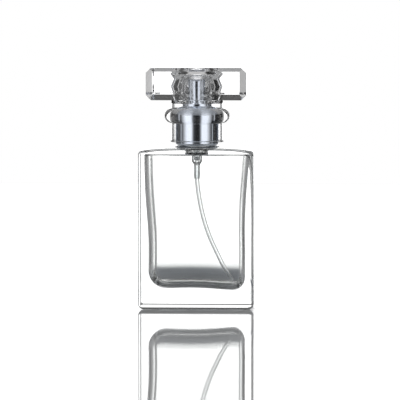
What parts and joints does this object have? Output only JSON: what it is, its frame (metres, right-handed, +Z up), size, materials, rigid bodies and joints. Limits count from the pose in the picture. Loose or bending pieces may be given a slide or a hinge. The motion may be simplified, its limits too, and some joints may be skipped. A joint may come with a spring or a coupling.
{
  "type": "aftershave bottle",
  "caption": "Rectangular thick-walled clear glass bottle with a crimped mist pump, a polished collar, a curved dip tube and a clear bevelled pull-off cap.",
  "frame": {"origin": "middle of the bottle's base, on the surface it stands on", "axes": "+Z up along the neck and the pump; +X to the right across the wide face; -Y is the front, and the nozzle faces +Y"},
  "size_m": [0.046, 0.0262, 0.0964],
  "materials": {
    "bottle_glass": "clear thick moulded glass, fire-polished",
    "cap_acrylic": "clear polished acrylic, flat facets",
    "sleeve_plastic": "clear moulded plastic, glossy",
    "clear_plastic": "slightly milky clear polypropylene",
    "tube_plastic": "translucent polyethylene tube",
    "polished_collar": "bright anodised, mirror polished",
    "ferrule_aluminium": "plain drawn aluminium, satin",
    "white_plastic": "natural white moulded polypropylene",
    "white_gasket": "soft white polyethylene sealing ring",
    "black_rubber": "black moulded seal",
    "steel": "bright stainless wire and ball"
  },
  "bodies": {
    "bottle": {"glass_bottle": "bottle_glass", "neck_gasket": "white_gasket", "crimp_ferrule": "ferrule_aluminium", "collar": "polished_collar", "collar_insert": "white_plastic", "pump_housing": "clear_plastic", "pump_turret": "white_plastic", "stem_seal": "black_rubber", "return_spring": "steel", "dip_tube": "tube_plastic"},
    "pump_rod": {"stem": "white_plastic", "piston": "white_plastic"},
    "valve_rod": {"poppet": "white_plastic"},
    "actuator": {"actuator_core": "white_plastic", "actuator_shell": "polished_collar", "nozzle_insert": "white_plastic"},
    "ball": {"inlet_ball": "steel"},
    "cap": {"cap_block": "cap_acrylic", "cap_sleeve": "sleeve_plastic"}
  },
  "joints": [
    {"name": "cap_lift", "type": "slide", "parent": "bottle", "child": "cap", "axis": [0, 0, 1], "range_m": [0, 0.045]},
    {"name": "pump_press", "type": "slide", "parent": "bottle", "child": "pump_rod", "axis": [0, 0, -1], "range_m": [0, 0.0042], "stiffness_N_per_m": 1500, "springref_m": -0.003, "deforming": ["return_spring"]},
    {"name": "valve_open", "type": "slide", "parent": "pump_rod", "child": "valve_rod", "axis": [0, 0, -1], "range_m": [0, 0.0003], "stiffness_N_per_m": 400, "springref_m": -0.001},
    {"name": "actuator_turn", "type": "hinge", "parent": "pump_rod", "child": "actuator", "pos_m": [0, 0, 0.085], "axis": [0, 0, 1], "continuous": true},
    {"name": "ball_lift", "type": "slide", "parent": "bottle", "child": "ball", "axis": [0, 0, 1], "range_m": [0, 0.0005]}
  ]
}
